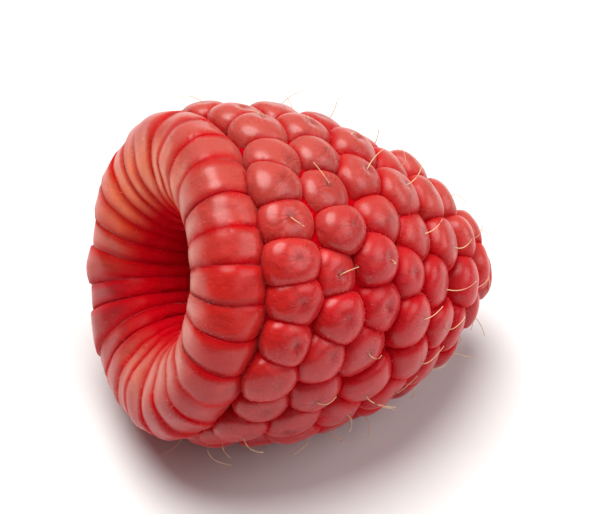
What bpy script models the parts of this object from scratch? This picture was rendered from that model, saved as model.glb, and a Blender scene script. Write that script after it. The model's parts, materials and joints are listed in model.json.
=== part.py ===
"""A ripe raspberry as picked, lying on its side: a thimble of drupelets round the hollow that the
receptacle left. Metres, +Z up. The berry rests on Z = 0, its mouth faces -X and its tip points to +X.

The berry's own frame has its axis along +X, from the mouth at 0 to the tip. Each drupelet is a closed
pillow, squeezed between its neighbours, and all of them are fused with the flesh between them into
one solid."""

import math

import bmesh
import bpy
import numpy as np
from mathutils import Matrix, Vector

# Driving dimensions of the berry
RADIUS = 0.0105
LENGTH = 2.2 * RADIUS
WIDEST_AT = 0.57 * RADIUS
MOUTH_NARROWING = 0.05
SHOULDER_POWER = 0.75

# The hollow that the receptacle leaves
THROAT_RADIUS = 0.36 * RADIUS
THROAT_AT = 0.42 * RADIUS
HOLLOW_END = 1.55 * RADIUS

# The ring of long drupelets that rolls over the rim, given by the middle and the lean of one of them
RIM_COUNT = 26
RIM_MIDDLE_AT = 0.27 * RADIUS
RIM_MIDDLE_RADIUS = 0.62 * RADIUS
RIM_HALF_LENGTH = 0.34 * RADIUS
RIM_HALF_THICKNESS = 0.245 * RADIUS
RIM_HALF_WIDTH = 0.6 * RADIUS
RIM_LEAN = math.radians(35)

# The rows behind it: a first row of longish drupelets, then round ones up to the tip
FIRST_ROW_AT = 0.47 * RADIUS
FIRST_ROW_COUNT = 25
SECOND_ROW_AT = 0.81 * RADIUS
ROW_PITCH = 0.29 * RADIUS
DRUPELET_WIDTH = 0.27 * RADIUS
DOME_HEIGHT = 0.145 * RADIUS
DOME_SPREAD = 0.2 * RADIUS
ROOT_SHORT_OF_WALL = 0.04 * RADIUS

# The flesh between the drupelets, which they stand out of
FLESH_BELOW = 0.085 * RADIUS
FLESH_FRONT_AT = 0.2 * RADIUS
FLESH_STEPS = 9

# The low swellings that the drupelets' inner ends leave in the hollow's wall
INNER_BUMPS_ROUND = 13
INNER_BUMP_ROWS = 6
INNER_BUMP_SHARE = 0.08
STEPS_PER_BUMP = 4
STEPS_PER_BUMP_ROW = 2

# How the drupelets press on each other: the higher the power, the flatter their sides, and the more they
# overlap, the shallower the grooves between them
ROUND_SQUEEZE = 8
RIM_SQUEEZE = 6
ROUND_OVERLAP = 1.2
RIM_OVERLAP = 1.4
NEIGHBOUR_REACH = 2.6 * DRUPELET_WIDTH
LEAST_APART = 0.25 * DRUPELET_WIDTH

# The seeded disorder of the drupelets, and how far it is evened out
SEED = 11
SIZE_SPREAD = 0.07
HEIGHT_SPREAD = 0.012 * RADIUS
PLACE_SPREAD = 0.045 * RADIUS
TURN_SPREAD = 0.08
RIM_TURN_SPREAD = 0.05
RIM_LEAN_SPREAD = math.radians(2)
RIM_LENGTH_SPREAD = 0.03
RELAX_STEPS = 24
RELAX_REACH = 1.15 * DRUPELET_WIDTH
RELAX_SHARE = 0.25

# How the berry lies, and how far its soft underside is pressed flat
REST_TILT = math.radians(18)
REST_ROLL = math.radians(44)
FLAT_DEPTH = 0.0004

# Facets of one drupelet: sides round it, and its rings by their angle from the end they go round
ROUND_SIDES = 9
ROUND_RINGS = [math.radians(angle) for angle in (30, 58, 86, 163)]
RIM_SIDES = 15
RIM_RINGS = [math.radians(angle) for angle in (30, 64, 80, 100, 116, 150)]
MOST_TRIANGLES = 11350
OUTLINE_STEPS = 400
MERGE_DISTANCE = 1e-6
SHARP_ANGLE = math.radians(40)

BERRY_RED = (0.55, 0.02, 0.035, 1.0)
ROUGHNESS = 0.45


def clear_scene():
    for item in list(bpy.data.objects):
        bpy.data.objects.remove(item, do_unlink=True)


def outer_radius(along):
    """Radius of the berry's outside at a distance along its axis."""
    if along < WIDEST_AT:
        return RADIUS * (1 - MOUTH_NARROWING * (1 - along / WIDEST_AT) ** 2)
    share = min((along - WIDEST_AT) / (LENGTH - WIDEST_AT), 1.0)
    return RADIUS * (1 - share**2) ** SHOULDER_POWER


def hollow_radius(depth):
    """Radius of the hollow at a share of its depth, from its throat at 0 to its end at 1."""
    return THROAT_RADIUS * math.sqrt(max(1 - depth**2, 0))


def surface_point(along, turn):
    radius = outer_radius(along)
    return Vector((along, radius * math.cos(turn), radius * math.sin(turn)))


def hollow_point(along, turn):
    """The point of the hollow's wall that lies under an outer point."""
    depth = max(along - FIRST_ROW_AT, 0) / (LENGTH - FIRST_ROW_AT)
    radius = hollow_radius(depth)
    inner = THROAT_AT + depth * (HOLLOW_END - THROAT_AT)
    return Vector((inner, radius * math.cos(turn), radius * math.sin(turn)))


def round_rows():
    """Distances along the axis of the round rows, at equal steps over the outside up to the tip."""
    alongs = np.linspace(SECOND_ROW_AT, LENGTH, OUTLINE_STEPS)
    radii = np.array([outer_radius(along) for along in alongs])
    travelled = np.concatenate([[0], np.cumsum(np.hypot(np.diff(alongs), np.diff(radii)))])
    count = round(travelled[-1] / ROW_PITCH)
    return np.interp(np.linspace(0, travelled[-1], count + 1), travelled, alongs)


def scatter():
    """(along, turn) of each drupelet behind the rim: rows with a little seeded disorder, evened out."""
    draw = np.random.default_rng(SEED)
    places = []
    for along in [FIRST_ROW_AT, *round_rows()]:
        count = max(round(2 * math.pi * outer_radius(along) / DRUPELET_WIDTH), 1)
        if along == FIRST_ROW_AT:
            count = FIRST_ROW_COUNT
        start = draw.uniform(0, 2 * math.pi)
        for k in range(count):
            turn = start + 2 * math.pi * (k + draw.normal(0, TURN_SPREAD)) / count
            shift = draw.normal(0, PLACE_SPREAD) if along < LENGTH - ROW_PITCH / 2 else 0
            places.append([min(along + shift, LENGTH), turn])
    return relaxed(np.array(places))


def relaxed(places):
    """The places after neighbours that stand too close have pushed each other apart, bar the first row."""
    for _ in range(RELAX_STEPS):
        points = np.array([surface_point(along, turn) for along, turn in places])
        for i in range(FIRST_ROW_COUNT, len(places)):
            along, turn = places[i]
            away = points[i] - points
            gap = np.linalg.norm(away, axis=1)
            near = (gap > 0) & (gap < RELAX_REACH)
            push = RELAX_SHARE * (away[near] * (RELAX_REACH / gap[near, None] - 1)).sum(axis=0)
            round_it = np.array([0, -math.sin(turn), math.cos(turn)])
            places[i, 0] = min(max(along + push[0], FIRST_ROW_AT), LENGTH)
            places[i, 1] = turn + push @ round_it / max(outer_radius(along), LEAST_APART)
    return places


def rim_drupelets(draw):
    """The long drupelets of the rim. Each one's mesh goes round its sides, from neighbour to neighbour."""
    found = []
    for k in range(RIM_COUNT):
        turn = 2 * math.pi * (k + draw.normal(0, RIM_TURN_SPREAD)) / RIM_COUNT
        lean = RIM_LEAN + draw.normal(0, RIM_LEAN_SPREAD)
        out = Vector((0, math.cos(turn), math.sin(turn)))
        found.append(
            {
                "middle": Vector((RIM_MIDDLE_AT, 0, 0)) + out * RIM_MIDDLE_RADIUS,
                "points": out * math.cos(lean) - Vector((1, 0, 0)) * math.sin(lean),
                "outward": RIM_HALF_LENGTH * (1 + draw.normal(0, RIM_LENGTH_SPREAD)),
                "inward": RIM_HALF_LENGTH,
                "spread": RIM_HALF_THICKNESS,
                "side": Vector((0, -math.sin(turn), math.cos(turn))),
                "side_spread": RIM_HALF_WIDTH,
                "size": 1 + draw.normal(0, SIZE_SPREAD),
                "squeeze": RIM_SQUEEZE,
                "overlap": RIM_OVERLAP,
                "pole": Vector((0, -math.sin(turn), math.cos(turn))),
                "sides": RIM_SIDES,
                "rings": RIM_RINGS,
            }
        )
    return found


def round_drupelets(draw):
    """The drupelets behind the rim. Each stands on its root, which ends inside the hollow's wall."""
    found = []
    for along, turn in scatter():
        outer = surface_point(along, turn)
        inner = hollow_point(along, turn)
        points = (outer - inner).normalized()
        size = 1 + draw.normal(0, SIZE_SPREAD)
        height = DOME_HEIGHT * size
        middle = outer + points * (draw.normal(0, HEIGHT_SPREAD) - height)
        found.append(
            {
                "middle": middle,
                "points": points,
                "outward": height,
                "inward": (middle - inner).length - ROOT_SHORT_OF_WALL,
                "spread": DOME_SPREAD * size,
                "side": points.orthogonal().normalized(),
                "side_spread": DOME_SPREAD * size,
                "size": size,
                "squeeze": ROUND_SQUEEZE,
                "overlap": ROUND_OVERLAP,
                "pole": points,
                "sides": ROUND_SIDES,
                "rings": ROUND_RINGS,
            }
        )
    return found


def contact_planes(me, others):
    """The planes between a drupelet and its neighbours, as (normal, distance from its middle)."""
    planes = []
    for other in others:
        apart = other["middle"] - me["middle"]
        if other is me or apart.length > NEIGHBOUR_REACH:
            continue
        shared = (me["points"] + other["points"]).normalized()
        across = apart - shared * apart.dot(shared)
        if across.length < LEAST_APART:
            continue
        normal = across.normalized()
        share = me["size"] / (me["size"] + other["size"])
        overlap = min(me["overlap"], other["overlap"])
        planes.append((normal, apart.dot(normal) * share * overlap))
    return planes


def reach(direction, me, planes):
    """How far a squeezed drupelet reaches from its middle in a direction."""
    lengthwise = direction.dot(me["points"])
    aside = direction.dot(me["side"])
    across = math.sqrt(max(1 - lengthwise**2 - aside**2, 0))
    half = me["outward"] if lengthwise > 0 else me["inward"]
    power = me["squeeze"]
    crowding = math.hypot(lengthwise / half, aside / me["side_spread"], across / me["spread"]) ** power
    for normal, distance in planes:
        toward = direction.dot(normal)
        if toward > 0:
            crowding += (toward / distance) ** power
    return crowding ** (-1 / power)


def add_pillow(mesh, me, planes):
    """One closed drupelet of few facets: two poles, and rings between them."""
    pole, sides = me["pole"], me["sides"]
    across = pole.orthogonal().normalized()
    upward = pole.cross(across)

    def vertex(angle, turn):
        flat = across * math.cos(turn) + upward * math.sin(turn)
        direction = pole * math.cos(angle) + flat * math.sin(angle)
        return mesh.verts.new(me["middle"] + direction * reach(direction, me, planes))

    top = vertex(0, 0)
    bottom = vertex(math.pi, 0)
    turns = [2 * math.pi * k / sides for k in range(sides)]
    rings = [[vertex(angle, turn) for turn in turns] for angle in me["rings"]]
    for k in range(sides):
        after = (k + 1) % sides
        mesh.faces.new((top, rings[0][k], rings[0][after]))
        mesh.faces.new((bottom, rings[-1][after], rings[-1][k]))
        for upper, lower in zip(rings, rings[1:]):
            mesh.faces.new((upper[k], lower[k], lower[after], upper[after]))
    bmesh.ops.triangulate(mesh, faces=mesh.faces)


def linked_object(name, mesh, collection):
    """A bmesh made into an object of a collection."""
    bmesh.ops.recalc_face_normals(mesh, faces=mesh.faces)
    data = bpy.data.meshes.new(name)
    mesh.to_mesh(data)
    mesh.free()
    item = bpy.data.objects.new(name, data)
    collection.objects.link(item)
    return item


def pillow_object(name, me, planes, collection):
    mesh = bmesh.new()
    add_pillow(mesh, me, planes)
    return linked_object(name, mesh, collection)


def flesh_outline():
    """Half the thimble's section, as (along, radius) points: its outside from the front, then its hollow."""
    back = LENGTH - FLESH_BELOW
    outside = np.linspace(2 * FLESH_FRONT_AT, back, FLESH_STEPS)[:-1]
    points = [(FLESH_FRONT_AT, RIM_MIDDLE_RADIUS)]
    points += [(along, outer_radius(along * LENGTH / back) - FLESH_BELOW) for along in outside]
    points.append((back, 0))
    for depth in np.linspace(1, 0, INNER_BUMP_ROWS * STEPS_PER_BUMP_ROW + 1):
        points.append((THROAT_AT + depth * (HOLLOW_END - THROAT_AT), hollow_radius(depth)))
    points.append((FLESH_FRONT_AT, THROAT_RADIUS + FLESH_FRONT_AT))
    return points


def swell_inner_bumps(mesh):
    """Raises the hollow's wall by a formula, in staggered rows of low swellings."""
    for vertex in mesh.verts:
        depth = (vertex.co.x - THROAT_AT) / (HOLLOW_END - THROAT_AT)
        outside = math.hypot(vertex.co.y, vertex.co.z) > THROAT_RADIUS + MERGE_DISTANCE
        if outside or not 0 < depth < 1:
            continue
        turn = math.atan2(vertex.co.z, vertex.co.y)
        swell = math.cos(INNER_BUMPS_ROUND * turn) * math.cos(INNER_BUMP_ROWS * math.pi * depth)
        vertex.co.yz *= 1 - INNER_BUMP_SHARE * swell


def flesh_object():
    """The thimble of flesh between the drupelets: its outline spun round the berry's axis."""
    mesh = bmesh.new()
    corners = [mesh.verts.new((along, 0, radius)) for along, radius in flesh_outline()]
    edges = [mesh.edges.new(pair) for pair in zip(corners, corners[1:] + corners[:1])]
    bmesh.ops.spin(
        mesh,
        geom=corners + edges,
        axis=(1, 0, 0),
        cent=(0, 0, 0),
        angle=2 * math.pi,
        steps=INNER_BUMPS_ROUND * STEPS_PER_BUMP,
        use_merge=True,
    )
    bmesh.ops.remove_doubles(mesh, verts=mesh.verts, dist=MERGE_DISTANCE)
    swell_inner_bumps(mesh)
    return linked_object("flesh", mesh, bpy.context.scene.collection)


def fused(everyone):
    """All the drupelets and the flesh between them joined into one closed body."""
    collection = bpy.data.collections.new("drupelets")
    bpy.context.scene.collection.children.link(collection)
    berry = flesh_object()
    for number, me in enumerate(everyone):
        pillow_object(f"drupelet_{number}", me, contact_planes(me, everyone), collection)
    union = berry.modifiers.new("union", "BOOLEAN")
    union.operation = "UNION"
    union.operand_type = "COLLECTION"
    union.collection = collection
    graph = bpy.context.evaluated_depsgraph_get()
    data = bpy.data.meshes.new_from_object(berry.evaluated_get(graph))
    for item in [berry, *collection.objects]:
        bpy.data.objects.remove(item, do_unlink=True)
    bpy.data.collections.remove(collection)
    return data


def thinned(data):
    """The same surface with no more triangles than it may have."""
    mesh = bmesh.new()
    mesh.from_mesh(data)
    bmesh.ops.triangulate(mesh, faces=mesh.faces)
    triangles = len(mesh.faces)
    item = linked_object("thinned", mesh, bpy.context.scene.collection)
    modifier = item.modifiers.new("thinning", "DECIMATE")
    modifier.ratio = min(MOST_TRIANGLES / triangles, 1.0)
    graph = bpy.context.evaluated_depsgraph_get()
    thin = bpy.data.meshes.new_from_object(item.evaluated_get(graph))
    bpy.data.objects.remove(item, do_unlink=True)
    return thin


def lay_down(data):
    """Turns the berry onto its side and sets it on Z = 0, with its soft underside pressed a little flat."""
    turn = Matrix.Rotation(REST_TILT, 4, "Y") @ Matrix.Rotation(REST_ROLL, 4, "X")
    mesh = bmesh.new()
    mesh.from_mesh(data)
    mesh.transform(turn)
    corners = np.array([vertex.co for vertex in mesh.verts])
    low = corners.min(axis=0)
    middle = (low + corners.max(axis=0)) / 2
    bmesh.ops.translate(mesh, verts=mesh.verts, vec=(-middle[0], -middle[1], -low[2] - FLAT_DEPTH))
    cut = bmesh.ops.bisect_plane(
        mesh,
        geom=mesh.verts[:] + mesh.edges[:] + mesh.faces[:],
        dist=MERGE_DISTANCE,
        plane_co=(0, 0, 0),
        plane_no=(0, 0, -1),
        clear_outer=True,
    )
    edges = [edge for edge in cut["geom_cut"] if isinstance(edge, bmesh.types.BMEdge)]
    bmesh.ops.holes_fill(mesh, edges=edges)
    bmesh.ops.triangulate(mesh, faces=mesh.faces)
    mesh.to_mesh(data)
    mesh.free()


def berry_material():
    material = bpy.data.materials.new("raspberry_flesh")
    material.use_nodes = True
    shader = material.node_tree.nodes["Principled BSDF"]
    shader.inputs["Base Color"].default_value = BERRY_RED
    shader.inputs["Roughness"].default_value = ROUGHNESS
    shader.inputs["Metallic"].default_value = 0.0
    return material


def main():
    clear_scene()
    draw = np.random.default_rng(SEED + 1)
    data = thinned(fused(rim_drupelets(draw) + round_drupelets(draw)))
    lay_down(data)
    data.name = "raspberry"
    data.materials.clear()
    data.materials.append(berry_material())
    data.shade_smooth()
    data.set_sharp_from_angle(angle=SHARP_ANGLE)
    berry = bpy.data.objects.new("raspberry", data)
    bpy.context.scene.collection.objects.link(berry)


main()
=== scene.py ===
# %% [markdown]
# # A ripe raspberry on its side
# The CAD solid already has the berry's real size and every drupelet, but it is made of flat facets. This
# lesson builds the same berry again with a smooth skin, gives it soft red flesh that light sinks into, and
# adds the golden hairs and the pale down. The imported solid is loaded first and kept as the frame, so
# everything made here can be measured against it.

# %% Load the frame
import json
import math

import bmesh
import bpy
import numpy as np
from mathutils import Matrix, Vector, noise

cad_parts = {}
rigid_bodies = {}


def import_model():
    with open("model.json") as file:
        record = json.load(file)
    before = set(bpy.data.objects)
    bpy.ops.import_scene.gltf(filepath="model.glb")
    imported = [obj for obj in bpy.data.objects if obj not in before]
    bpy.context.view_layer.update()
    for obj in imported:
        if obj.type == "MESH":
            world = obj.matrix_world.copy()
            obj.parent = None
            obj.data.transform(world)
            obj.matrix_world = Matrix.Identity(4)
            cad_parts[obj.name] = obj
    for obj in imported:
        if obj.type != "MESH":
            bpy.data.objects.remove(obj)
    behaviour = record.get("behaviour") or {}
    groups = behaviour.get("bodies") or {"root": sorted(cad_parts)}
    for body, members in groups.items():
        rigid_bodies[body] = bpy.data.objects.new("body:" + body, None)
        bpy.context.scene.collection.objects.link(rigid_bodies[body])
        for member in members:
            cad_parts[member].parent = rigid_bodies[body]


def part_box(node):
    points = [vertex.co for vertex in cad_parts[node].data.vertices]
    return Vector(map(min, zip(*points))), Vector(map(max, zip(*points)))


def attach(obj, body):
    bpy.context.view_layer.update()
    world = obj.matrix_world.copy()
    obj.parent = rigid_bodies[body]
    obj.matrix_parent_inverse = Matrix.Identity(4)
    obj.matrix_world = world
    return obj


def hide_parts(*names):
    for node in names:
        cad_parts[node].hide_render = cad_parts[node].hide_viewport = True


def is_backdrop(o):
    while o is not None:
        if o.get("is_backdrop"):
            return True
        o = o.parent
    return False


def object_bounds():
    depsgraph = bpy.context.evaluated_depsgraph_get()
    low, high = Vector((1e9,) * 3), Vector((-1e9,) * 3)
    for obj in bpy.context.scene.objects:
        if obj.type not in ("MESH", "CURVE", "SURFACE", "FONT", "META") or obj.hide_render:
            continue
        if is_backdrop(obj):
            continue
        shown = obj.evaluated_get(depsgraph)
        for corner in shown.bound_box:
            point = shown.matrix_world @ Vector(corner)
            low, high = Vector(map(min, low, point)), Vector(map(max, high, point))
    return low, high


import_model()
CAD_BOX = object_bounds()
BERRY_LOW, BERRY_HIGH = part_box("raspberry")
print("berry box in mm:", [round(1000 * side, 2) for side in BERRY_HIGH - BERRY_LOW])

# %% [markdown]
# ## The berry's plan
# A raspberry is a thimble: its drupelets sit in rings round the hollow that the plant's white plug left.
# Its shape hangs on one radius, as in the solid. The plan is written along the berry's own axis, with the
# mouth at 0 and the tip at LENGTH, because rings are easy to describe there. The berry is laid on its side
# at the end.

# %% Driving sizes
RADIUS = 0.0105
LENGTH = 2.2 * RADIUS
WIDEST_AT = 0.57 * RADIUS
MOUTH_NARROWING = 0.05
SHOULDER_POWER = 0.75
THROAT_RADIUS = 0.36 * RADIUS
THROAT_AT = 0.42 * RADIUS
HOLLOW_END = 1.55 * RADIUS
print("berry's own length in mm:", round(1000 * LENGTH, 1))


# %% The outline and the hollow
def outer_radius(along):
    """Radius of the berry's outside at a distance along its axis."""
    if along < WIDEST_AT:
        return RADIUS * (1 - MOUTH_NARROWING * (1 - along / WIDEST_AT) ** 2)
    share = min((along - WIDEST_AT) / (LENGTH - WIDEST_AT), 1.0)
    return RADIUS * (1 - share**2) ** SHOULDER_POWER


def hollow_radius(depth):
    """Radius of the hollow at a share of its depth, from its throat at 0 to its end at 1."""
    return THROAT_RADIUS * math.sqrt(max(1 - depth**2, 0))


def round_the_axis(along, radius, turn):
    return Vector((along, radius * math.cos(turn), radius * math.sin(turn)))


# %% [markdown]
# ## Where the drupelets sit
# On the plant each drupelet pushes its neighbours aside as it swells, which is why the rows are nearly, but
# not quite, a honeycomb. The places could be typed in by hand, but it is easier to copy the plant: lay out
# even rings, disturb them a little with seeded random numbers, and let neighbours that stand too close push
# each other apart for a few steps. The numbers are the solid's own, so each drupelet lands where it has
# one.

# %% Rows of places
FIRST_ROW_AT = 0.47 * RADIUS
FIRST_ROW_COUNT = 25
SECOND_ROW_AT = 0.81 * RADIUS
ROW_PITCH = 0.29 * RADIUS
DRUPELET_WIDTH = 0.27 * RADIUS
SEED = 11
PLACE_SPREAD = 0.045 * RADIUS
TURN_SPREAD = 0.08
OUTLINE_STEPS = 400


def round_rows():
    """Distances along the axis of the round rows, at equal steps over the outside up to the tip."""
    alongs = np.linspace(SECOND_ROW_AT, LENGTH, OUTLINE_STEPS)
    radii = np.array([outer_radius(along) for along in alongs])
    travelled = np.concatenate([[0], np.cumsum(np.hypot(np.diff(alongs), np.diff(radii)))])
    count = round(travelled[-1] / ROW_PITCH)
    return np.interp(np.linspace(0, travelled[-1], count + 1), travelled, alongs)


def scattered_rows():
    """(along, turn) of each drupelet behind the rim, before they push on each other."""
    draw = np.random.default_rng(SEED)
    places = []
    for along in [FIRST_ROW_AT, *round_rows()]:
        count = max(round(2 * math.pi * outer_radius(along) / DRUPELET_WIDTH), 1)
        if along == FIRST_ROW_AT:
            count = FIRST_ROW_COUNT
        start = draw.uniform(0, 2 * math.pi)
        for k in range(count):
            turn = start + 2 * math.pi * (k + draw.normal(0, TURN_SPREAD)) / count
            shift = draw.normal(0, PLACE_SPREAD) if along < LENGTH - ROW_PITCH / 2 else 0
            places.append([min(along + shift, LENGTH), turn])
    return np.array(places)


# %% Let the places push each other apart
RELAX_STEPS = 24
RELAX_REACH = 1.15 * DRUPELET_WIDTH
RELAX_SHARE = 0.25
LEAST_APART = 0.25 * DRUPELET_WIDTH


def relaxed(places):
    """The places after neighbours that stand too close have pushed each other apart, bar the first row."""
    for _ in range(RELAX_STEPS):
        points = np.array([round_the_axis(a, outer_radius(a), turn) for a, turn in places])
        for i in range(FIRST_ROW_COUNT, len(places)):
            along, turn = places[i]
            away = points[i] - points
            gap = np.linalg.norm(away, axis=1)
            near = (gap > 0) & (gap < RELAX_REACH)
            push = RELAX_SHARE * (away[near] * (RELAX_REACH / gap[near, None] - 1)).sum(axis=0)
            round_it = np.array([0, -math.sin(turn), math.cos(turn)])
            places[i, 0] = min(max(along + push[0], FIRST_ROW_AT), LENGTH)
            places[i, 1] = turn + push @ round_it / max(outer_radius(along), LEAST_APART)
    return places


PLACES = relaxed(scattered_rows())
print("drupelets behind the rim:", len(PLACES))

# %% [markdown]
# ## Two kinds of drupelet
# The drupelets of the rim are long and narrow: they start outside, roll over the edge and run down into the
# mouth. All the others are round domes on a root that reaches in to the hollow. Each one is noted as a
# small set of values: its middle, the way it points, and how far it reaches outward, inward and sideways.

# %% The rim's drupelets
RIM_COUNT = 26
RIM_MIDDLE_AT = 0.27 * RADIUS
RIM_MIDDLE_RADIUS = 0.62 * RADIUS
RIM_HALF_LENGTH = 0.34 * RADIUS
RIM_HALF_THICKNESS = 0.245 * RADIUS
RIM_HALF_WIDTH = 0.6 * RADIUS
RIM_LEAN = math.radians(35)
RIM_TURN_SPREAD = 0.05
RIM_LEAN_SPREAD = math.radians(2)
RIM_LENGTH_SPREAD = 0.03
SIZE_SPREAD = 0.07
RIM_SQUEEZE = 6


def rim_drupelets(draw):
    found = []
    for k in range(RIM_COUNT):
        turn = 2 * math.pi * (k + draw.normal(0, RIM_TURN_SPREAD)) / RIM_COUNT
        lean = RIM_LEAN + draw.normal(0, RIM_LEAN_SPREAD)
        out = Vector((0, math.cos(turn), math.sin(turn)))
        found.append(
            {
                "middle": Vector((RIM_MIDDLE_AT, 0, 0)) + out * RIM_MIDDLE_RADIUS,
                "points": out * math.cos(lean) - Vector((1, 0, 0)) * math.sin(lean),
                "outward": RIM_HALF_LENGTH * (1 + draw.normal(0, RIM_LENGTH_SPREAD)),
                "inward": RIM_HALF_LENGTH,
                "spread": RIM_HALF_THICKNESS,
                "side": Vector((0, -math.sin(turn), math.cos(turn))),
                "side_spread": RIM_HALF_WIDTH,
                "size": 1 + draw.normal(0, SIZE_SPREAD),
                "squeeze": RIM_SQUEEZE,
                "pole": Vector((0, -math.sin(turn), math.cos(turn))),
                "rim": True,
            }
        )
    return found


# %% The round drupelets
DOME_HEIGHT = 0.145 * RADIUS
DOME_SPREAD = 0.2 * RADIUS
HEIGHT_SPREAD = 0.012 * RADIUS
ROOT_SHORT_OF_WALL = 0.04 * RADIUS
ROUND_SQUEEZE = 8


def hollow_point(along, turn):
    """The point of the hollow's wall that lies under an outer point."""
    depth = max(along - FIRST_ROW_AT, 0) / (LENGTH - FIRST_ROW_AT)
    inner = THROAT_AT + depth * (HOLLOW_END - THROAT_AT)
    return round_the_axis(inner, hollow_radius(depth), turn)


def round_drupelets(draw):
    found = []
    for along, turn in PLACES:
        outer = round_the_axis(along, outer_radius(along), turn)
        inner = hollow_point(along, turn)
        points = (outer - inner).normalized()
        size = 1 + draw.normal(0, SIZE_SPREAD)
        height = DOME_HEIGHT * size
        middle = outer + points * (draw.normal(0, HEIGHT_SPREAD) - height)
        found.append(
            {
                "middle": middle,
                "points": points,
                "outward": height,
                "inward": (middle - inner).length - ROOT_SHORT_OF_WALL,
                "spread": DOME_SPREAD * size,
                "side": points.orthogonal().normalized(),
                "side_spread": DOME_SPREAD * size,
                "size": size,
                "squeeze": ROUND_SQUEEZE,
                "pole": points,
                "rim": False,
            }
        )
    return found


size_draw = np.random.default_rng(SEED + 1)
DRUPELETS = rim_drupelets(size_draw) + round_drupelets(size_draw)
print("drupelets in all:", len(DRUPELETS))

# %% [markdown]
# ## How a drupelet is squeezed
# A free drupelet would be an egg. Its neighbours flatten it where they touch, so its sides are nearly plane
# and its top stays round. That can be written as one sum: the egg and every contact plane each say how far
# the skin may reach, all of them are raised to a high power and added, and the root of the sum gives a
# surface that keeps inside all of them and turns smoothly from one to the next. Where two drupelets of the
# rim meet, the plane lies further out than in the solid. Their grooves come out shallower that way, as the
# photo shows them.

# %% Contact planes and reach
ROUND_OVERLAP = 1.2
RIM_OVERLAP = 1.6
NEIGHBOUR_REACH = 2.6 * DRUPELET_WIDTH


def contact_planes(me, others):
    """The planes between a drupelet and its neighbours, as normals and distances from its middle."""
    # One plane at infinity, which presses on nothing, so that the arrays are never empty.
    normals, distances = [me["points"]], [math.inf]
    for other in others:
        apart = other["middle"] - me["middle"]
        if other is me or apart.length > NEIGHBOUR_REACH:
            continue
        shared = (me["points"] + other["points"]).normalized()
        across = apart - shared * apart.dot(shared)
        if across.length < LEAST_APART:
            continue
        normal = across.normalized()
        share = me["size"] / (me["size"] + other["size"])
        overlap = RIM_OVERLAP if me["rim"] and other["rim"] else ROUND_OVERLAP
        normals.append(normal)
        distances.append(apart.dot(normal) * share * overlap)
    return np.array(normals), np.array(distances)


def reaches(directions, me, planes):
    """How far the squeezed drupelet reaches from its middle in each of many directions."""
    normals, distances = planes
    lengthwise = directions @ np.array(me["points"])
    aside = directions @ np.array(me["side"])
    across = np.sqrt(np.clip(1 - lengthwise**2 - aside**2, 0, 1))
    half = np.where(lengthwise > 0, me["outward"], me["inward"])
    egg = np.hypot(np.hypot(lengthwise / half, aside / me["side_spread"]), across / me["spread"])
    crowding = egg ** me["squeeze"]
    toward = np.clip(directions @ normals.T, 0, None)
    crowding += ((toward / distances) ** me["squeeze"]).sum(axis=1)
    return crowding ** (-1 / me["squeeze"])


# %% [markdown]
# ## Growing one drupelet from a sphere
# A sphere made by an operator gives evenly laid faces for nothing; only its points have to move. A round
# drupelet's sphere has its pole at the top of the dome, with more rings there than at the hidden root. A
# rim drupelet's sphere has its poles at the two neighbours, so its rings run along the rib. Real domes
# aren't perfect. Slow noise makes them lumpy, and each round one has a dent near its top, where the hair is
# rooted, deep on some and hardly there on others.

# %% Sphere to drupelet
ROUND_SEGMENTS, ROUND_RINGS, ROUND_CROWDING = 34, 20, 1.3
RIM_SEGMENTS, RIM_RINGS, RIM_CROWDING = 56, 16, 1.6
LUMP_DEPTH = 0.05
LUMP_SIZE = 0.0017
DENT_DEPTH = 0.17
DENT_ANGLE = 0.3
DENT_OFF_CENTRE = 0.16
LEAST_DENT = 0.1


def crowded(angle, is_rim):
    """A ring's angle from the pole, moved so that more rings lie where the skin shows."""
    if is_rim:
        share = angle / (math.pi / 2) - 1
        return math.pi / 2 * (1 + math.copysign(abs(share) ** RIM_CROWDING, share))
    return math.pi * (angle / math.pi) ** ROUND_CROWDING


def skin_directions(sphere, me):
    """The direction in which each point of the unit sphere is sent."""
    pole = me["pole"]
    across = pole.orthogonal().normalized()
    upward = pole.cross(across)
    found = []
    for vertex in sphere.verts:
        angle = crowded(math.acos(max(min(vertex.co.z, 1), -1)), me["rim"])
        turn = math.atan2(vertex.co.y, vertex.co.x)
        flat = across * math.cos(turn) + upward * math.sin(turn)
        found.append(pole * math.cos(angle) + flat * math.sin(angle))
    return np.array(found)


def dent(directions, me, draw):
    """A shallow dent near the top of a round drupelet, deeper on some than on others."""
    if me["rim"]:
        return 0
    foot = me["points"] + DENT_OFF_CENTRE * Vector(draw.normal(0, 1, 3))
    me["style_foot"] = foot.normalized()
    angle = np.arccos(np.clip(directions @ np.array(me["style_foot"]), -1, 1))
    return DENT_DEPTH * draw.uniform(LEAST_DENT, 1) * np.exp(-((angle / DENT_ANGLE) ** 2))


def drupelet_mesh(me, planes, draw):
    """One closed drupelet with a smooth skin."""
    sphere = bmesh.new()
    segments, rings = (RIM_SEGMENTS, RIM_RINGS) if me["rim"] else (ROUND_SEGMENTS, ROUND_RINGS)
    bmesh.ops.create_uvsphere(sphere, u_segments=segments, v_segments=rings, radius=1)
    directions = skin_directions(sphere, me)
    radii = reaches(directions, me, planes) * (1 - dent(directions, me, draw))
    for vertex, direction, radius in zip(sphere.verts, directions, radii):
        place = me["middle"] + Vector(direction) * radius
        lump = LUMP_DEPTH * noise.noise(place / LUMP_SIZE)
        vertex.co = place + Vector(direction) * radius * lump
    bmesh.ops.recalc_face_normals(sphere, faces=sphere.faces)
    return sphere


# %% Put each mesh into an object
FLESH_NUMBER = len(DRUPELETS)


def object_from(name, mesh, collection=None):
    data = bpy.data.meshes.new(name)
    mesh.to_mesh(data)
    mesh.free()
    made = bpy.data.objects.new(name, data)
    (collection or bpy.context.scene.collection).objects.link(made)
    return made


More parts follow.
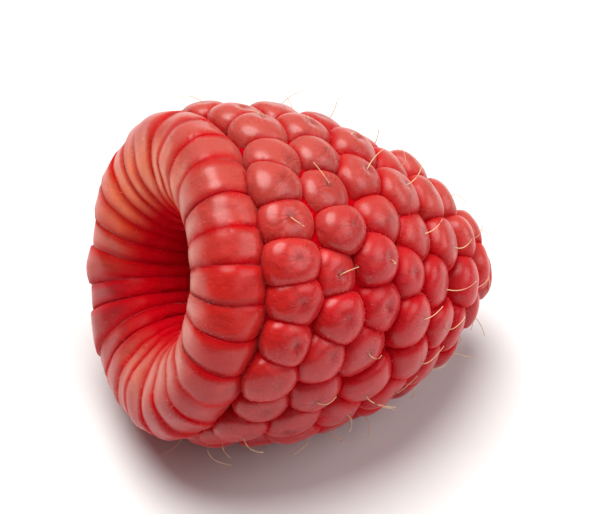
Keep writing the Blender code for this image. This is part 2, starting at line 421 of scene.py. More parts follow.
def numbered(mesh, number):
    """Notes on every face which drupelet it belongs to. The union keeps that note."""
    layer = mesh.faces.layers.int.new("drupelet")
    for face in mesh.faces:
        face[layer] = number
    return mesh


parts_of_berry = bpy.data.collections.new("drupelets")
bpy.context.scene.collection.children.link(parts_of_berry)
dent_draw = np.random.default_rng(SEED + 2)
PLANES = [contact_planes(me, DRUPELETS) for me in DRUPELETS]
for number, me in enumerate(DRUPELETS):
    mesh = numbered(drupelet_mesh(me, PLANES[number], dent_draw), number)
    object_from(f"drupelet_{number}", mesh, parts_of_berry)

# %% [markdown]
# ## The flesh between them, and the hollow
# Behind the domes the drupelets run together into one wall. It is made by spinning half of its section
# round the axis, which gives the hollow its round wall at the same time. In a real berry that wall is
# knobbly: the inner end of every drupelet shows as a low bump, so the wall is swollen in staggered rows by
# a formula.

# %% Spin the wall and swell it
FLESH_BELOW = 0.085 * RADIUS
FLESH_FRONT_AT = 0.2 * RADIUS
FLESH_STEPS = 9
INNER_BUMPS_ROUND = 13
INNER_BUMP_ROWS = 6
INNER_BUMP_SHARE = 0.08
STEPS_PER_BUMP = 8
STEPS_PER_BUMP_ROW = 6
MERGE_DISTANCE = 1e-6


def flesh_outline():
    """Half the wall's section, as (along, radius) points: its outside from the front, then its hollow."""
    back = LENGTH - FLESH_BELOW
    outside = np.linspace(2 * FLESH_FRONT_AT, back, FLESH_STEPS)[:-1]
    points = [(FLESH_FRONT_AT, RIM_MIDDLE_RADIUS)]
    points += [(along, outer_radius(along * LENGTH / back) - FLESH_BELOW) for along in outside]
    points.append((back, 0))
    for depth in np.linspace(1, 0, INNER_BUMP_ROWS * STEPS_PER_BUMP_ROW + 1):
        points.append((THROAT_AT + depth * (HOLLOW_END - THROAT_AT), hollow_radius(depth)))
    points.append((FLESH_FRONT_AT, THROAT_RADIUS + FLESH_FRONT_AT))
    return points


def swell_inner_bumps(mesh):
    for vertex in mesh.verts:
        depth = (vertex.co.x - THROAT_AT) / (HOLLOW_END - THROAT_AT)
        outside = math.hypot(vertex.co.y, vertex.co.z) > THROAT_RADIUS + MERGE_DISTANCE
        if outside or not 0 < depth < 1:
            continue
        turn = math.atan2(vertex.co.z, vertex.co.y)
        swell = math.cos(INNER_BUMPS_ROUND * turn) * math.cos(INNER_BUMP_ROWS * math.pi * depth)
        vertex.co.yz *= 1 - INNER_BUMP_SHARE * swell


def flesh_mesh():
    mesh = bmesh.new()
    corners = [mesh.verts.new((along, 0, radius)) for along, radius in flesh_outline()]
    edges = [mesh.edges.new(pair) for pair in zip(corners, corners[1:] + corners[:1])]
    bmesh.ops.spin(
        mesh,
        geom=corners + edges,
        axis=(1, 0, 0),
        cent=(0, 0, 0),
        angle=2 * math.pi,
        steps=INNER_BUMPS_ROUND * STEPS_PER_BUMP,
        use_merge=True,
    )
    bmesh.ops.remove_doubles(mesh, verts=mesh.verts, dist=MERGE_DISTANCE)
    swell_inner_bumps(mesh)
    bmesh.ops.recalc_face_normals(mesh, faces=mesh.faces)
    return mesh


# %% [markdown]
# ## One skin
# Overlapping shapes look joined from outside, but light that sinks into the flesh would meet the walls
# hidden inside and come back dark. A Boolean union takes those walls away, so that the berry is one closed
# body. Every piece here is a closed shape, so the manifold solver can be used, which is the quick one.

# %% Join the drupelets with the flesh
berry = object_from("berry_skin", numbered(flesh_mesh(), FLESH_NUMBER))
union = berry.modifiers.new("union", "BOOLEAN")
union.operation = "UNION"
union.operand_type = "COLLECTION"
union.collection = parts_of_berry
union.solver = "MANIFOLD"
graph = bpy.context.evaluated_depsgraph_get()
joined = bpy.data.meshes.new_from_object(berry.evaluated_get(graph))
berry.modifiers.clear()
berry.data = joined
for item in list(parts_of_berry.objects):
    bpy.data.objects.remove(item, do_unlink=True)
bpy.data.collections.remove(parts_of_berry)
print("faces after joining:", len(joined.polygons))

# %% [markdown]
# ## Crisp creases, smooth domes
# Smooth shading blends the light over neighbouring faces, which is right on a dome and wrong in a crease:
# there it would smear a dark stripe over both sides. The usual cure is to mark edges as sharp by their
# angle, but the shallow creases of the rim are blunter than the bends of some domes. Every face still knows
# its drupelet, so the edges between two different ones can be marked instead. The drupelets of the rim have
# grown into each other so far that their grooves are soft; those stay smooth.

# %% Mark the edges between drupelets
belongs_to = np.empty(len(joined.polygons), int)
joined.attributes["drupelet"].data.foreach_get("value", belongs_to)
edge_of_corner = np.empty(len(joined.loops), int)
joined.loops.foreach_get("edge_index", edge_of_corner)
corners_each = np.empty(len(joined.polygons), int)
joined.polygons.foreach_get("loop_total", corners_each)
owner_of_corner = np.repeat(belongs_to, corners_each)
lowest = np.full(len(joined.edges), FLESH_NUMBER)
highest = np.zeros(len(joined.edges), int)
np.minimum.at(lowest, edge_of_corner, owner_of_corner)
np.maximum.at(highest, edge_of_corner, owner_of_corner)
is_rim = np.append([me["rim"] for me in DRUPELETS], False)
crisp = (lowest != highest) & ~(is_rim[lowest] & is_rim[highest])
joined.shade_smooth()
joined.attributes.new("sharp_edge", "BOOLEAN", "EDGE").data.foreach_set("value", crisp)
print("edges in creases:", int(crisp.sum()), "of", len(joined.edges))

# %% [markdown]
# ## What the skin remembers
# The colour of a drupelet depends on where you look: painted shade, a deeper red, where two meet, lighter on
# the dome, another tone on each one, and painted shade down in the hollow. The mesh is the best place to
# keep such facts, so they are stored on it as attributes, which the material reads later. They are measured
# while the berry still stands on its own axis. How deep in a crease a point lies is the same for both
# drupelets that share it, so that is kept for each point.

# %% Measure each point of the skin
CREASE_WIDTH = 0.38
RIM_CREASE_WIDTH = 0.13
ALMOST_ZERO = 1e-9


def crowding_ratio(points, me, planes):
    """For each point, its distance from a drupelet's middle over that drupelet's reach towards it."""
    away = points - np.array(me["middle"])
    distance = np.maximum(np.linalg.norm(away, axis=1), ALMOST_ZERO)
    return distance / reaches(away / distance[:, None], me, planes)


points = np.array([vertex.co for vertex in joined.vertices])
nearest = np.full(len(points), np.inf)
second = np.full(len(points), np.inf)
crease_width = np.full(len(points), CREASE_WIDTH)
for number, me in enumerate(DRUPELETS):
    close = np.linalg.norm(points - np.array(me["middle"]), axis=1) < NEIGHBOUR_REACH
    ratio = np.full(len(points), np.inf)
    ratio[close] = crowding_ratio(points[close], me, PLANES[number])
    if me["rim"]:
        crease_width[ratio < nearest] = RIM_CREASE_WIDTH
    second = np.minimum(second, np.maximum(ratio, nearest))
    nearest = np.minimum(nearest, ratio)
crease = np.clip(1 - (second - nearest) / crease_width, 0, 1)
print("share of the skin in creases:", round(float((crease > 0.5).mean()), 2))


# %% Store what belongs to the points
def remember(name, values, domain):
    """Stores numbers, or vectors, on the skin's points or on the corners of its faces."""
    kind = "FLOAT" if values.ndim == 1 else "FLOAT_VECTOR"
    attribute = joined.attributes.new(name, kind, domain)
    attribute.data.foreach_set("value" if values.ndim == 1 else "vector", values.astype(np.float32).ravel())


remember("crease", crease, "POINT")
remember("along", points[:, 0] / LENGTH, "POINT")

# %% [markdown]
# ## What belongs to one drupelet alone
# The tone jumps from one drupelet to the next. Kept for each point, it would be blended over the last faces
# before a crease. Every corner of every face can have a value of its own instead, so nothing blends across.
# Light and shade are painted on the skin as well: painted light makes the side that lies uppermost paler,
# painted shade makes the underside a deeper red, and inside the mouth painted light makes it pale, with an
# orange painted glow of light shining through the rim on one side and painted shade on another. Each of
# these is a turn round the axis, and fades with the cosine of the angle from it.

# %% Tone, painted light and shade round the berry, the funnel and the hollow
HOLLOW_FROM, HOLLOW_FULL = 0.53 * RADIUS, 0.38 * RADIUS
FUNNEL_FROM, FUNNEL_FULL = 0.84 * RADIUS, 0.62 * RADIUS
LIT_SIDE = math.radians(25)
LIT_SIDE_FROM, LIT_SIDE_FULL = 0.35, 0.95
SHADED_SIDE_FROM, SHADED_SIDE_FULL = -0.1, 0.7
FUNNEL_SHADE_SIDE, FUNNEL_SHADE_FROM = math.radians(-95), 0.55
THROUGH_RIM_SIDE, THROUGH_RIM_FROM = math.radians(-18), 0.35
FLESH_TONE = 0.5
vertex_of_corner = np.empty(len(joined.loops), int)
joined.loops.foreach_get("vertex_index", vertex_of_corner)
corners = points[vertex_of_corner]
tones = np.append(np.random.default_rng(SEED + 3).uniform(0, 1, len(DRUPELETS)), FLESH_TONE)
on_rim = is_rim[owner_of_corner]
on_flesh = owner_of_corner == FLESH_NUMBER
from_axis = np.hypot(corners[:, 1], corners[:, 2])
into_hollow = np.clip((HOLLOW_FROM - from_axis) / (HOLLOW_FROM - HOLLOW_FULL), 0, 1)
into_funnel = np.clip((FUNNEL_FROM - from_axis) / (FUNNEL_FROM - FUNNEL_FULL), 0, 1)
inside = np.where(on_rim | on_flesh, into_hollow, 0)
remember("inside", inside, "CORNER")
remember("between", on_flesh.astype(float), "CORNER")
turn = np.arctan2(corners[:, 2], corners[:, 1])
# Painted light makes the side that lies uppermost paler; painted shade makes the underside a deeper red.
toward_lit_side = np.cos(turn - LIT_SIDE)
remember("painted_top_light", np.clip((toward_lit_side - LIT_SIDE_FROM) / (LIT_SIDE_FULL - LIT_SIDE_FROM), 0, 1), "CORNER")
remember("painted_underside_shade", np.clip((-toward_lit_side - SHADED_SIDE_FROM) / (SHADED_SIDE_FULL - SHADED_SIDE_FROM), 0, 1), "CORNER")
# Painted light and shade in the mouth: pale painted light, an orange painted glow of light shining through
# the rim on one side, and painted shade on another.
in_mouth = np.where(on_rim & (corners[:, 0] < RIM_MIDDLE_AT), into_funnel, 0)
shaded_mouth_side = np.clip((np.cos(turn - FUNNEL_SHADE_SIDE) - FUNNEL_SHADE_FROM) / (1 - FUNNEL_SHADE_FROM), 0, 1)
through_rim = np.clip((np.cos(turn - THROUGH_RIM_SIDE) - THROUGH_RIM_FROM) / (1 - THROUGH_RIM_FROM), 0, 1)
remember("painted_funnel_light", in_mouth * (1 - shaded_mouth_side), "CORNER")
remember("painted_funnel_shade", in_mouth * shaded_mouth_side, "CORNER")
remember("painted_light_through_rim", in_mouth * np.sqrt(through_rim), "CORNER")
remember("tone", tones[owner_of_corner], "CORNER")

# %% [markdown]
# ## The way the wrinkles run
# The fine wrinkles run out from the foot of the hair on a round drupelet, and along a drupelet of the rim.
# Each corner's place is therefore given in the drupelet's own terms: round the foot and away from it, or
# across the rib and along it. Right at the foot they fade, because so many would meet there that they would
# only smudge.

# %% Places on each drupelet
STREAKS_ROUND = 2.6
STREAKS_ALONG_RIB = 6.0
RIB_STRETCH = 0.35
RIM_WRINKLES = 0.17
PINCH_ANGLE = 0.75
CALM_ANGLE = 0.2
APART_IN_NOISE = 7.3


def round_the_foot(away, foot):
    """Places on a round drupelet as a direction round the foot of its hair, and an angle away from it."""
    away = away / np.linalg.norm(away, axis=1)[:, None]
    across = foot.orthogonal().normalized()
    flat = np.stack([away @ np.array(across), away @ np.array(foot.cross(across))], axis=1)
    flat /= np.maximum(np.linalg.norm(flat, axis=1), ALMOST_ZERO)[:, None]
    angle = np.arccos(np.clip(away @ np.array(foot), -1, 1))
    return np.stack([STREAKS_ROUND * flat[:, 0], STREAKS_ROUND * flat[:, 1], angle], axis=1), angle


def over_the_rib(away, me):
    """Places on a drupelet of the rim, stretched along it."""
    across_it = away @ np.array(me["side"]) / RIM_HALF_THICKNESS
    along_it = away @ np.array(me["points"]) / RIM_HALF_LENGTH
    return np.stack([STREAKS_ALONG_RIB * across_it, RIB_STRETCH * along_it, 0 * along_it], axis=1)


wrinkle_place = np.zeros((len(corners), 3))
wrinkled = np.zeros(len(corners))
for number, me in enumerate(DRUPELETS):
    mine = owner_of_corner == number
    away = corners[mine] - np.array(me["middle"])
    if me["rim"]:
        wrinkle_place[mine] = over_the_rib(away, me)
        wrinkled[mine] = RIM_WRINKLES
    else:
        wrinkle_place[mine], angle = round_the_foot(away, me["style_foot"])
        wrinkled[mine] = np.exp(-((angle / PINCH_ANGLE) ** 2)) * np.clip(angle / CALM_ANGLE, 0, 1)
    wrinkle_place[mine, 2] += APART_IN_NOISE * number
remember("wrinkle_place", wrinkle_place, "CORNER")
remember("wrinkled", wrinkled, "CORNER")
print("attributes:", [item.name for item in joined.attributes if item.domain in ("POINT", "CORNER")])

# %% [markdown]
# ## Laying the berry down
# The berry rests on its side, tilted so that the mouth looks a little up, and the soft drupelets under it
# are pressed flat. The turn is the solid's own; the shift is found by bringing the middle and the top of
# the new skin to those of the solid. Points that would sink below the surface are simply raised to it.

# %% Turn, shift and press
REST_TILT = math.radians(18)
REST_ROLL = math.radians(44)
LAY = Matrix.Rotation(REST_TILT, 4, "Y") @ Matrix.Rotation(REST_ROLL, 4, "X")
turned = points @ np.array(LAY.to_3x3()).T
low, high = turned.min(axis=0), turned.max(axis=0)
goal = (BERRY_LOW + BERRY_HIGH) / 2
SHIFT = Vector((goal.x - (low[0] + high[0]) / 2, goal.y - (low[1] + high[1]) / 2, BERRY_HIGH.z - high[2]))
TO_WORLD = Matrix.Translation(SHIFT) @ LAY
joined.transform(TO_WORLD)
for vertex in joined.vertices:
    vertex.co.z = max(vertex.co.z, 0)
joined.update()
print("lowest before pressing, in mm:", round(1000 * (low[2] + SHIFT.z), 2))

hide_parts("raspberry")
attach(berry, "root")

# %% [markdown]
# ## A short way to write shader maths
# A material is a graph of nodes, and plain Python reads better than a long list of links. `Flow` wraps a
# socket, so that `2 * mask + 1` adds the Math nodes by itself. `Finish` owns one material and makes every
# other node in one way: its type, its settings, then the values or links of its sockets.

# %% Flow and Finish
class Flow:
    """A number that changes over a surface. Python's own signs on it add Math nodes."""

    def __init__(self, finish, socket):
        self.finish = finish
        self.socket = socket

    def _math(self, operation, *values):
        return self.finish.flow("ShaderNodeMath", {"operation": operation}, *values)

    def __add__(self, other):
        return self._math("ADD", self, other)

    def __sub__(self, other):
        return self._math("SUBTRACT", self, other)

    def __rsub__(self, other):
        return self._math("SUBTRACT", other, self)

    def __mul__(self, other):
        return self._math("MULTIPLY", self, other)

    def __pow__(self, other):
        return self._math("POWER", self, other)

    __radd__ = __add__
    __rmul__ = __mul__


class Finish:
    """One material, and the one way its nodes are made."""

    def __init__(self, name):
        self.material = bpy.data.materials.new(name)
        self.material.use_nodes = True
        self.tree = self.material.node_tree
        self.shader = self.tree.nodes["Principled BSDF"]

    def node(self, kind, settings, values):
        made = self.tree.nodes.new(kind)
        for name, value in settings.items():
            setattr(made, name, value)
        for place, value in values.items():
            self.feed(made.inputs[place], value)
        return made

    def feed(self, socket, value):
        value = value.socket if isinstance(value, Flow) else value
        if isinstance(value, bpy.types.NodeSocket):
            self.tree.links.new(value, socket)
        else:
            socket.default_value = value

    def flow(self, kind, settings, *values, out=0):
        return Flow(self, self.node(kind, settings, dict(enumerate(values))).outputs[out])

    def remembered(self, name):
        return self.flow("ShaderNodeAttribute", {"attribute_name": name}, out="Fac")

    def grain(self, size, detail=2.0, roughness=0.5, place=None):
        if place is None:
            place = self.node("ShaderNodeTexCoord", {}, {}).outputs["Object"]
        values = {"Vector": place, "Scale": 1 / size, "Detail": detail, "Roughness": roughness}
        return Flow(self, self.node("ShaderNodeTexNoise", {}, values).outputs["Fac"])

    def mixed(self, share, one, other):
        """A colour between two others."""
        mix = self.node("ShaderNodeMix", {"data_type": "RGBA"}, {0: share, 6: one, 7: other})
        return mix.outputs[2]

    def set(self, **values):
        for name, value in values.items():
            self.feed(self.shader.inputs[name.replace("_", " ")], value)


# %% [markdown]
# ## Raspberry flesh
# Ripe flesh is soft and full of juice: light sinks in, wanders and comes out redder. That is subsurface
# scattering, with red light travelling furthest. Here it is kept shallow, because deep scattering with the
# shader's own shine over it left grey bands in the grooves. A trace of red emission in the creases and in
# the hollow stands in for the light that would have wandered there. The skin is velvety rather than glossy,
# so the shader's own shine is off. A sheen layer gives the pale bloom at the edges of each dome, and a
# clear coat the soft highlight. The coat fades out in the creases and the hollow. Colour varies by the
# facts kept in the mesh: each drupelet has a tone of its own, and light and shade are painted in as well,
# painted shade in the creases, the hollow and the underside, and painted light on the upper side and in the
# mouth.

# %% The skin's material
DOME_RED = (0.57, 0.014, 0.018, 1)
RIPE_RED = (0.5, 0.002, 0.01, 1)
CREASE_SHADE_RED = (0.48, 0.0, 0.004, 1)
RIM_RED = (0.62, 0.022, 0.014, 1)
UNDERSIDE_SHADE_RED = (0.3, 0.003, 0.01, 1)
TOP_LIGHT_PINK = (0.5, 0.1, 0.078, 1)
FUNNEL_LIGHT_PINK = (0.62, 0.14, 0.09, 1)
THROUGH_RIM_ORANGE = (0.95, 0.13, 0.008, 1)
FUNNEL_SHADE_RED = (0.34, 0.008, 0.014, 1)
HOLLOW_SHADE_RED = (0.56, 0.003, 0.009, 1)
# Painted light and shade, each with its attribute, its share and its colour.
PAINTED_LIGHT_AND_SHADE = (
    ("painted_underside_shade", 0.6, UNDERSIDE_SHADE_RED),
    ("painted_top_light", 0.75, TOP_LIGHT_PINK),
    ("painted_funnel_light", 0.85, FUNNEL_LIGHT_PINK),
    ("painted_light_through_rim", 0.9, THROUGH_RIM_ORANGE),
    ("painted_funnel_shade", 0.8, FUNNEL_SHADE_RED),
)
NO_GLOW = (0, 0, 0, 1)
CREASE_GLOW = (0.045, 0.0, 0.001, 1)
HOLLOW_GLOW_SHARE = 0.6
GLOW_FALL = 1.3
MOTTLE_SIZE = 0.0009
MOTTLE_SHARE, TONE_SHARE = 2.4, 0.55
RIM_TINT, RIM_TINT_FULL, RIM_TINT_ENDS = 0.75, 0.08, 0.42
FINE_SIZE, FINE_HEIGHT = 0.00022, 0.6
PEBBLE_SIZE, PEBBLE_HEIGHT = 0.0009, 1.5
PINCH_HEIGHT = 3.0
RELIEF_STRENGTH, RELIEF_DISTANCE = 0.85, 0.0002

skin = Finish("raspberry_flesh")
crease_flow = skin.flow(
    "ShaderNodeMath", {"operation": "MAXIMUM"}, skin.remembered("crease"), skin.remembered("between")
)
inside_flow = skin.remembered("inside")
mottle = skin.grain(MOTTLE_SIZE, detail=5.0, roughness=0.6)
ripeness = skin.flow(
    "ShaderNodeMath",
    {"operation": "ADD", "use_clamp": True},
    TONE_SHARE * skin.remembered("tone"),
    (mottle - 0.5) * MOTTLE_SHARE,
)
to_rim = skin.flow(
    "ShaderNodeMapRange", {"clamp": True}, skin.remembered("along"), RIM_TINT_FULL, RIM_TINT_ENDS, 1.0, 0.0
)
colour = skin.mixed(ripeness, DOME_RED, RIPE_RED)
colour = skin.mixed(RIM_TINT * to_rim, colour, RIM_RED)
for name, share, tint in PAINTED_LIGHT_AND_SHADE:
    colour = skin.mixed(share * skin.remembered(name), colour, tint)
# Painted shade: the hollow is painted a saturated crimson.
colour = skin.mixed(inside_flow, colour, HOLLOW_SHADE_RED)
# Painted shade: the creases, and the flesh between the drupelets, are painted a darker, deeper red.
colour = skin.mixed(crease_flow, colour, CREASE_SHADE_RED)
glow = skin.flow(
    "ShaderNodeMath", {"operation": "MAXIMUM"}, crease_flow**GLOW_FALL, HOLLOW_GLOW_SHARE * inside_flow
)
fine = skin.grain(FINE_SIZE, detail=4.0, roughness=0.6)
pebble = skin.grain(PEBBLE_SIZE, detail=2.0)
run = skin.node("ShaderNodeAttribute", {"attribute_name": "wrinkle_place"}, {}).outputs["Vector"]
streak = skin.grain(1.0, detail=3.0, roughness=0.55, place=run)
pinch = streak * skin.remembered("wrinkled")
height = FINE_HEIGHT * fine + PEBBLE_HEIGHT * pebble + PINCH_HEIGHT * pinch
bump_values = {"Strength": RELIEF_STRENGTH, "Distance": RELIEF_DISTANCE, "Height": height}
relief = skin.node("ShaderNodeBump", {}, bump_values)
skin.set(
    Base_Color=colour,
    Roughness=0.4 + 0.16 * fine + 0.2 * inside_flow,
    Normal=relief.outputs["Normal"],
    Subsurface_Weight=0.6,
    Subsurface_Radius=(1.0, 0.15, 0.08),
    Subsurface_Scale=0.0009,
    Specular_IOR_Level=0.0,
    Sheen_Weight=0.23,
    Sheen_Roughness=0.3,
    Sheen_Tint=(1.0, 0.5, 0.42, 1),
    Coat_Weight=0.9 * (1 - crease_flow) * (1 - inside_flow),
    Coat_Roughness=0.3,
    Emission_Color=skin.mixed(glow, NO_GLOW, CREASE_GLOW),
    Emission_Strength=1.0,
)
joined.materials.clear()
joined.materials.append(skin.material)
print("skin nodes:", len(skin.tree.nodes))

# %% [markdown]
# ## A hair to copy
# A hair is a thin tapering stalk. Making it once as a straight unit stalk, from a cone cut into a few
# lengths, keeps every hair at a few dozen faces. Each copy is then bent: a point of the stalk at height z
# goes to the same share of a curved path, and its width is scaled by a rule for the taper.

# %% The unit stalk
def stalk(sides, lengths):
    """A straight stalk of unit width from z = 0 to z = 1, cut into equal lengths."""
    mesh = bmesh.new()
    bmesh.ops.create_cone(
        mesh, cap_ends=True, cap_tris=False, segments=sides, radius1=1, radius2=1, depth=1,
        matrix=Matrix.Translation((0, 0, 0.5)),
    )
    upright = [edge for edge in mesh.edges if abs(edge.verts[0].co.z - edge.verts[1].co.z) > 0.5]
    bmesh.ops.subdivide_edges(mesh, edges=upright, cuts=lengths - 1)
    data = bpy.data.meshes.new("stalk")
    mesh.to_mesh(data)
    mesh.free()
    return data


def add_bent(mesh, template, path, width):
    """Adds one copy of the stalk along a path of points, as wide as the rule says at each share of it."""
    start = len(mesh.verts)
    mesh.from_mesh(template)
    mesh.verts.ensure_lookup_table()
    last = len(path) - 1
    for vertex in mesh.verts[start:]:
        share = vertex.co.z
        step = min(int(share * last), last - 1)
        ahead = (path[step + 1] - path[step]).normalized()
        place = path[step].lerp(path[step + 1], share * last - step)
        across = ahead.orthogonal().normalized()
        upward = ahead.cross(across)
        vertex.co = place + (across * vertex.co.x + upward * vertex.co.y) * width(share)


# %% [markdown]
# ## Styles: the golden hairs
# Each drupelet grew from its own little flower part, and what is left of it is a dry golden hair with a
# tiny knob. Many have dropped off near the mouth; more are left towards the tip. A hair rises from the dent
# of its dome, leans over and curls, so its path is grown step by step, turning a little more at each step.
# One that would reach more than a little past the solid's box, or down to the floor, is left out.

# %% Grow the styles
STYLES_AT_MOUTH = 0.25
STYLE_STEPS = 8
STYLE_LENGTHS = (0.0012, 0.0026)
STYLE_LEANS = (0.3, 1.5)
STYLE_BENDS = (0.15, 0.8)
STYLE_WIDTH = 0.000027
KNOB_WIDTH = 0.000046
KNOB_FROM = 0.9
SKIN_CLEAR = 0.0001
BOX_SPARE = 0.02


def in_reach(place):
    """True where a hair may be: inside the solid's box with a little to spare, and above the surface."""
    spare = BOX_SPARE * (BERRY_HIGH - BERRY_LOW)
    fits = all(BERRY_LOW[i] - spare[i] < place[i] < BERRY_HIGH[i] + spare[i] for i in range(3))
    return fits and place.z > SKIN_CLEAR


def style_path(foot, outward, length, draw):
    """A path that leaves the skin, leans aside and curls."""
    lean = Vector(draw.normal(0, 1, 3)).cross(outward).normalized()
    ahead = (outward + draw.uniform(*STYLE_LEANS) * lean).normalized()
    bend = draw.uniform(*STYLE_BENDS)
    curl = Vector(draw.normal(0, 1, 3)).cross(outward).normalized()
    path = [foot - outward * SKIN_CLEAR]
    for _ in range(STYLE_STEPS):
        path.append(path[-1] + ahead * length / STYLE_STEPS)
        ahead = (ahead + bend * curl).normalized()
    return path


def style_width(share):
    """Half the width of a hair at a share of its length: it tapers up to the knob at its end."""
    if share > KNOB_FROM:
        return KNOB_WIDTH * (1 if share < 0.99 else 0.55)
    return STYLE_WIDTH * (1.25 - 0.6 * share)


style_draw = np.random.default_rng(SEED + 4)
styles_mesh = bmesh.new()
style_stalk = stalk(5, 9)
TURN_ONLY = LAY.to_3x3()
styles_made = 0
for number, me in enumerate(DRUPELETS):
    if me["rim"]:
        continue
    toward_tip = me["middle"].x / LENGTH
    if style_draw.uniform() > STYLES_AT_MOUTH + toward_tip:
        continue
    direction = me["style_foot"]
    radius = reaches(np.array([direction]), me, PLANES[number])[0] * (1 - DENT_DEPTH / 2)
    foot = TO_WORLD @ (me["middle"] + direction * radius)
    length = style_draw.uniform(*STYLE_LENGTHS)
    path = style_path(foot, TURN_ONLY @ direction, length, style_draw)
    if all(in_reach(place) for place in path):
        add_bent(styles_mesh, style_stalk, path, style_width)
        styles_made += 1
styles = object_from("styles", styles_mesh)
styles.data.shade_smooth()
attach(styles, "root")
print("styles:", styles_made)

# %% [markdown]
# ## Straw
# A dry hair is no longer red but golden, blotched light and dark, and thin enough for a little light to
# come through. A weak scattering is enough for that.

# %% The styles' material
STRAW_DARK = (0.78, 0.42, 0.22, 1)
STRAW_PALE = (0.92, 0.68, 0.42, 1)
dry = Finish("dry_style")
straw = dry.grain(0.0004, detail=2.0)
dry.set(
    Base_Color=dry.mixed(straw, STRAW_DARK, STRAW_PALE),
    Roughness=0.4 + 0.2 * straw,
    Subsurface_Weight=0.2,
    Subsurface_Radius=(1.0, 0.6, 0.3),
    Subsurface_Scale=0.0002,
)
styles.data.materials.append(dry.material)

# %% [markdown]
# ## Down
# The whole outside is covered with down so short that it is only seen against the light, as a pale fringe.
# Thousands of hairs are needed, so each has three sides and two lengths. They are spread by drawing faces
# of the skin at random, the larger ones more often, and they lean every way. The hollow has none. The union
# gives the faces of the skin in another order on each run, so they are first sorted by where they are.
# Without that, the same seed would grow different down every time.

# %% Grow the down
DOWN_COUNT = 10000
DOWN_WIDTH = 0.000004
DOWN_LENGTHS = (0.0001, 0.00024)
DOWN_LEAN, DOWN_BEND = 0.45, 0.12
SAME_PLACE = 1e-8
NO_DOWN_INSIDE = 0.75


def down_places(count, draw):
    """Points on the outside of the skin, drawn by area, with their normals."""
    areas = np.empty(len(joined.polygons))
    joined.polygons.foreach_get("area", areas)
    first_corners = np.empty(len(joined.polygons), int)
    joined.polygons.foreach_get("loop_start", first_corners)
    areas[np.maximum.reduceat(inside, first_corners) > NO_DOWN_INSIDE] = 0
    centres = np.array([polygon.center for polygon in joined.polygons])
    steady = np.lexsort(np.round(centres / SAME_PLACE).T)
    chosen = draw.choice(steady, count, p=areas[steady] / areas.sum())
    return [(joined.polygons[i].center.copy(), joined.polygons[i].normal.copy()) for i in chosen]


def down_width(share):
    return DOWN_WIDTH * (1.1 - share)


down_draw = np.random.default_rng(SEED + 5)
down_mesh = bmesh.new()
down_stalk = stalk(3, 2)
for foot, outward in down_places(DOWN_COUNT, down_draw):
    lean = Vector(down_draw.normal(0, DOWN_LEAN, 3))
    ahead = (outward + lean).normalized()
    length = down_draw.uniform(*DOWN_LENGTHS)
    tip = foot + ahead * length + Vector(down_draw.normal(0, DOWN_BEND, 3)) * length
    if in_reach(tip):
        path = [foot - outward * DOWN_WIDTH, foot + ahead * length / 2, tip]
        add_bent(down_mesh, down_stalk, path, down_width)
down = object_from("down", down_mesh)
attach(down, "root")
print("down triangles:", sum(len(face.vertices) - 2 for face in down.data.polygons))

# %% [markdown]
# ## Pale pink
# The down has hardly any colour of its own, and takes up some of the flesh's red. Two pale pinks that
# change slowly over the berry are enough, because no single hair can be made out.

# %% The down's material
PINK = (0.8, 0.36, 0.3, 1)
PALE_PINK = (0.9, 0.62, 0.52, 1)
PINK_PATCHES = 0.002
pale = Finish("pale_down")
pale.set(
    Base_Color=pale.mixed(pale.grain(PINK_PATCHES), PINK, PALE_PINK),
    Roughness=0.5,
    Subsurface_Weight=0.2,
    Subsurface_Scale=0.0001,
)
down.data.materials.append(pale.material)

# %% [markdown]
# ## Floor, light and camera
# The photo has a plain white ground and light so soft that nothing casts a hard shadow. A pale floor and
# three wide lamps come near that, under a dim sky. The strongest lamp hangs overhead, a little to the left
# and behind, so that the domes are lit from above and the underside stays crimson. Two weaker ones fill in
# from the right and from the front. The camera looks down at about 45 degrees from a little left of the
# side, through a very long lens, because the photo shows hardly any perspective.

# %% The floor
FLOOR_SIZE = 1.2
floor_mesh = bmesh.new()
bmesh.ops.create_grid(floor_mesh, x_segments=1, y_segments=1, size=FLOOR_SIZE / 2)
floor = object_from("floor", floor_mesh)
pale_floor = Finish("pale_floor")
pale_floor.set(Base_Color=(0.9, 0.9, 0.9, 1), Roughness=0.9)
floor.data.materials.append(pale_floor.material)
floor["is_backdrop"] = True

# %% The light
BERRY_MIDDLE = (BERRY_LOW + BERRY_HIGH) / 2
SKY_STRENGTH = 0.07


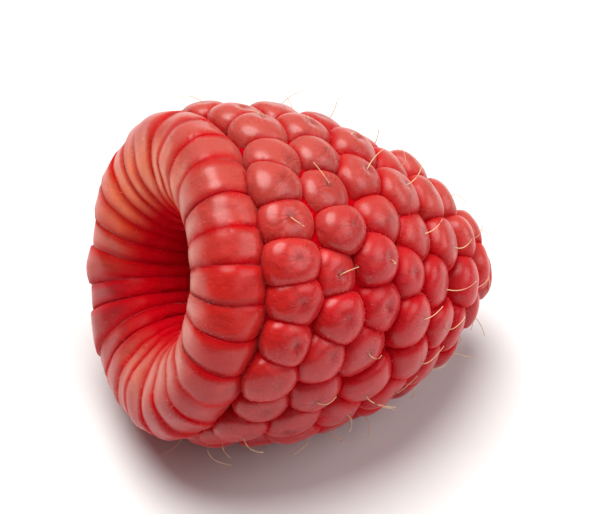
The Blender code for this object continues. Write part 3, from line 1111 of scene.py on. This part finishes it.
def soft_lamp(name, place, size, watts, colour):
    light = bpy.data.lights.new(name, "AREA")
    light.shape = "DISK"
    light.size = size
    light.energy = watts
    light.color = colour
    lamp = bpy.data.objects.new(name, light)
    lamp.location = place
    lamp.rotation_euler = (BERRY_MIDDLE - Vector(place)).to_track_quat("-Z", "Y").to_euler()
    bpy.context.scene.collection.objects.link(lamp)


soft_lamp("overhead", place=(-0.04, 0.1, 0.45), size=0.42, watts=3.1, colour=(1, 0.985, 0.96))
soft_lamp("right_fill", place=(0.4, -0.15, 0.3), size=0.4, watts=1.0, colour=(1, 1, 1))
soft_lamp("front_fill", place=(0.2, -0.45, 0.3), size=0.4, watts=0.3, colour=(1, 1, 1))
world = bpy.data.worlds.new("studio")
world.use_nodes = True
sky = world.node_tree.nodes["Background"]
sky.inputs["Color"].default_value = (1, 1, 1, 1)
sky.inputs["Strength"].default_value = SKY_STRENGTH
bpy.context.scene.world = world
bpy.context.scene.view_settings.view_transform = "Standard"

# %% The camera
AZIMUTH = math.radians(-18.5)
ELEVATION = math.radians(45.5)
LENS = 420
SENSOR = 36
BERRY_SHARE_OF_WIDTH = 0.68
camera_data = bpy.data.cameras.new("camera")
camera_data.lens = LENS
camera_data.sensor_width = SENSOR
camera_data.clip_start = 0.01
back = Vector(
    (
        math.sin(AZIMUTH) * math.cos(ELEVATION),
        -math.cos(AZIMUTH) * math.cos(ELEVATION),
        math.sin(ELEVATION),
    )
)
width = (BERRY_HIGH - BERRY_LOW).x
distance = width / BERRY_SHARE_OF_WIDTH * LENS / SENSOR
camera = bpy.data.objects.new("camera", camera_data)
camera.location = BERRY_MIDDLE + back * distance
camera.rotation_euler = back.to_track_quat("Z", "Y").to_euler()
bpy.context.scene.collection.objects.link(camera)
bpy.context.scene.camera = camera
print("camera distance in mm:", round(1000 * distance))

# %% [markdown]
# ## Sizes, and the end
# The finished berry must not outgrow the solid. Both boxes are printed.

# %% Print the sizes
sizes = {"cad": [list(corner) for corner in CAD_BOX], "visual": [list(corner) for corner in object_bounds()]}
for name, (lowest, highest) in sizes.items():
    print(name, "box in mm:", [round(1000 * (b - a), 2) for a, b in zip(lowest, highest)])
